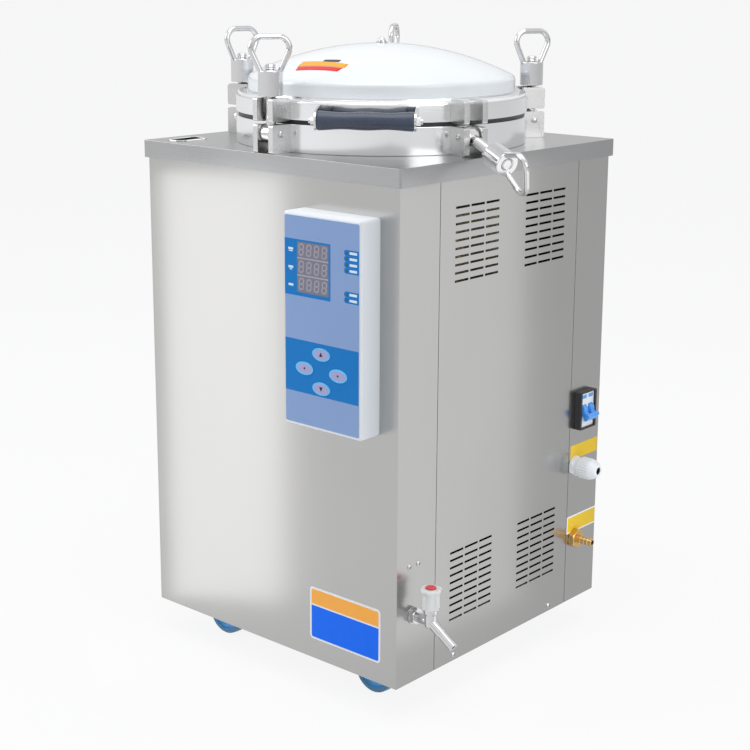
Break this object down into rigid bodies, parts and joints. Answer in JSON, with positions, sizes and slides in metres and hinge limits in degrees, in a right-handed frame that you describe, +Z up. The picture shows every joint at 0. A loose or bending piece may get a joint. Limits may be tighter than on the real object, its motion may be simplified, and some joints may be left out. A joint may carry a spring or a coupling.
{
  "type": "vertical autoclave",
  "caption": "Top-loading vertical autoclave: square steel cabinet on casters, round domed lid held by swing bolts with ring nuts, front control panel, drain tap.",
  "frame": {"origin": "on the chamber's upright axis, in the underside of the base tray", "axes": "+Z up along the chamber's axis, -Y out of the front face with the control panel, +X out of the side with the drain tap"},
  "size_m": [0.6442, 0.5678, 1.0008],
  "materials": {
    "sheet_steel": "fine vertical brushing",
    "screw_steel": "plain",
    "grip_cup": "chromed cup",
    "zinc_steel": "bright zinc",
    "vessel_steel": "satin",
    "flange_steel": "turned, satin",
    "lug_steel": "satin",
    "polished_steel": "polished",
    "mineral_wool": "fibre blanket",
    "heater_steel": "heat-stained",
    "pipe_steel": "drawn tube",
    "brass": "turned",
    "white_plastic": "moulded",
    "black_plastic": "moulded",
    "housing_white": "powder coat",
    "overlay_blue": "printed film",
    "window_grey": "tinted window",
    "board_green": "circuit board",
    "cover_white": "gloss paint",
    "gasket_rubber": "silicone",
    "grip_rubber": "smooth rubber",
    "wheel_blue": "solid polyurethane",
    "key_lilac": "printed film",
    "toggle_blue": "moulded",
    "knob_white": "moulded",
    "cap_red": "moulded"
  },
  "bodies": {
    "cabinet": {"base_tray": "sheet_steel", "front_panel": "sheet_steel", "rear_wrap": "sheet_steel", "side_access_panel": "sheet_steel", "panel_screws": "screw_steel", "deck": "sheet_steel", "deck_grip": "grip_cup", "caster_plates": "zinc_steel", "vessel_shell": "vessel_steel", "vessel_flange": "flange_steel", "vessel_lugs": "lug_steel", "pivot_pins": "polished_steel", "insulation_jacket": "mineral_wool", "heater_element": "heater_steel", "steam_plate": "vessel_steel", "basket": "vessel_steel", "drain_pipe": "pipe_steel", "exhaust_line": "pipe_steel", "tap_body": "polished_steel", "brass_outlet": "brass", "cable_gland": "white_plastic", "breaker_frame": "black_plastic", "breaker_body": "white_plastic", "panel_housing": "housing_white", "panel_overlay": "overlay_blue", "display_window": "window_grey", "control_board": "board_green"},
    "lid": {"lid_flange": "flange_steel", "lid_head": "vessel_steel", "lid_cover": "cover_white", "lid_gasket": "gasket_rubber", "lid_lugs": "lug_steel", "handle_bracket": "polished_steel", "handle_grip": "grip_rubber", "cover_nut": "polished_steel"},
    "clamp_1": {"clamp_bolt_1": "polished_steel"},
    "nut_1": {"ring_nut_1": "polished_steel"},
    "clamp_2": {"clamp_bolt_2": "polished_steel"},
    "nut_2": {"ring_nut_2": "polished_steel"},
    "clamp_3": {"clamp_bolt_3": "polished_steel"},
    "nut_3": {"ring_nut_3": "polished_steel"},
    "clamp_4": {"clamp_bolt_4": "polished_steel"},
    "nut_4": {"ring_nut_4": "polished_steel"},
    "clamp_5": {"clamp_bolt_5": "polished_steel"},
    "nut_5": {"ring_nut_5": "polished_steel"},
    "caster_1": {"caster_fork_1": "zinc_steel"},
    "wheel_1": {"caster_wheel_1": "wheel_blue"},
    "caster_2": {"caster_fork_2": "zinc_steel"},
    "wheel_2": {"caster_wheel_2": "wheel_blue"},
    "caster_3": {"caster_fork_3": "zinc_steel"},
    "wheel_3": {"caster_wheel_3": "wheel_blue"},
    "caster_4": {"caster_fork_4": "zinc_steel"},
    "wheel_4": {"caster_wheel_4": "wheel_blue"},
    "key_up": {"key_up": "key_lilac"},
    "key_down": {"key_down": "key_lilac"},
    "key_left": {"key_left": "key_lilac"},
    "key_right": {"key_right": "key_lilac"},
    "toggle": {"breaker_toggle": "toggle_blue"},
    "knob": {"tap_knob": "knob_white", "tap_cap": "cap_red"}
  },
  "joints": [
    {"name": "lid_hinge", "type": "hinge", "parent": "cabinet", "child": "lid", "pos_m": [0, 0.252, 0.783], "axis": [-1, 0, 0], "range_deg": [0, 0.25]},
    {"name": "clamp_1_swing", "type": "hinge", "parent": "cabinet", "child": "clamp_1", "pos_m": [0, -0.248, 0.754], "axis": [1, 0, 0], "range_deg": [0, 125]},
    {"name": "nut_1_turn", "type": "hinge", "parent": "clamp_1", "child": "nut_1", "pos_m": [0, -0.248, 0.8273], "axis": [0, 0, 1], "continuous": true},
    {"name": "clamp_2_swing", "type": "hinge", "parent": "cabinet", "child": "clamp_2", "pos_m": [0.23586, -0.07664, 0.754], "axis": [0.309, 0.9511, 0], "range_deg": [-108, 0]},
    {"name": "nut_2_turn", "type": "hinge", "parent": "clamp_2", "child": "nut_2", "pos_m": [0.30216, -0.09818, 0.73135], "axis": [0.9045, -0.2939, -0.309], "continuous": true},
    {"name": "clamp_3_swing", "type": "hinge", "parent": "cabinet", "child": "clamp_3", "pos_m": [0.14577, 0.20064, 0.754], "axis": [-0.809, 0.5878, 0], "range_deg": [0, 92]},
    {"name": "nut_3_turn", "type": "hinge", "parent": "clamp_3", "child": "nut_3", "pos_m": [0.14577, 0.20064, 0.8273], "axis": [0, 0, 1], "continuous": true},
    {"name": "clamp_4_swing", "type": "hinge", "parent": "cabinet", "child": "clamp_4", "pos_m": [-0.14577, 0.20064, 0.754], "axis": [-0.809, -0.5878, 0], "range_deg": [0, 92]},
    {"name": "nut_4_turn", "type": "hinge", "parent": "clamp_4", "child": "nut_4", "pos_m": [-0.14577, 0.20064, 0.8273], "axis": [0, 0, 1], "continuous": true},
    {"name": "clamp_5_swing", "type": "hinge", "parent": "cabinet", "child": "clamp_5", "pos_m": [-0.23586, -0.07664, 0.754], "axis": [0.309, -0.9511, 0], "range_deg": [0, 115]},
    {"name": "nut_5_turn", "type": "hinge", "parent": "clamp_5", "child": "nut_5", "pos_m": [-0.23586, -0.07664, 0.8273], "axis": [0, 0, 1], "continuous": true},
    {"name": "caster_1_swivel", "type": "hinge", "parent": "cabinet", "child": "caster_1", "pos_m": [-0.19, -0.19, -0.01], "axis": [0, 0, 1], "continuous": true},
    {"name": "wheel_1_spin", "type": "hinge", "parent": "caster_1", "child": "wheel_1", "pos_m": [-0.165, -0.19, -0.0645], "axis": [0, 1, 0], "continuous": true},
    {"name": "caster_2_swivel", "type": "hinge", "parent": "cabinet", "child": "caster_2", "pos_m": [0.19, -0.19, -0.01], "axis": [0, 0, 1], "continuous": true},
    {"name": "wheel_2_spin", "type": "hinge", "parent": "caster_2", "child": "wheel_2", "pos_m": [0.165, -0.19, -0.0645], "axis": [0, 1, 0], "continuous": true},
    {"name": "caster_3_swivel", "type": "hinge", "parent": "cabinet", "child": "caster_3", "pos_m": [-0.19, 0.19, -0.01], "axis": [0, 0, 1], "continuous": true},
    {"name": "wheel_3_spin", "type": "hinge", "parent": "caster_3", "child": "wheel_3", "pos_m": [-0.165, 0.19, -0.0645], "axis": [0, 1, 0], "continuous": true},
    {"name": "caster_4_swivel", "type": "hinge", "parent": "cabinet", "child": "caster_4", "pos_m": [0.19, 0.19, -0.01], "axis": [0, 0, 1], "continuous": true},
    {"name": "wheel_4_spin", "type": "hinge", "parent": "caster_4", "child": "wheel_4", "pos_m": [0.165, 0.19, -0.0645], "axis": [0, 1, 0], "continuous": true},
    {"name": "key_up_press", "type": "slide", "parent": "cabinet", "child": "key_up", "axis": [0, 1, 0], "range_m": [0, 0.0006], "stiffness_N_per_m": 400},
    {"name": "key_down_press", "type": "slide", "parent": "cabinet", "child": "key_down", "axis": [0, 1, 0], "range_m": [0, 0.0006], "stiffness_N_per_m": 400},
    {"name": "key_left_press", "type": "slide", "parent": "cabinet", "child": "key_left", "axis": [0, 1, 0], "range_m": [0, 0.0006], "stiffness_N_per_m": 400},
    {"name": "key_right_press", "type": "slide", "parent": "cabinet", "child": "key_right", "axis": [0, 1, 0], "range_m": [0, 0.0006], "stiffness_N_per_m": 400},
    {"name": "breaker_switch", "type": "hinge", "parent": "cabinet", "child": "toggle", "pos_m": [0.263, 0.211, 0.286], "axis": [0, -1, 0], "range_deg": [0, 60]},
    {"name": "drain_knob_turn", "type": "hinge", "parent": "cabinet", "child": "knob", "pos_m": [0.293, -0.222, 0.09], "axis": [0, 0, 1], "range_deg": [0, 360]}
  ]
}
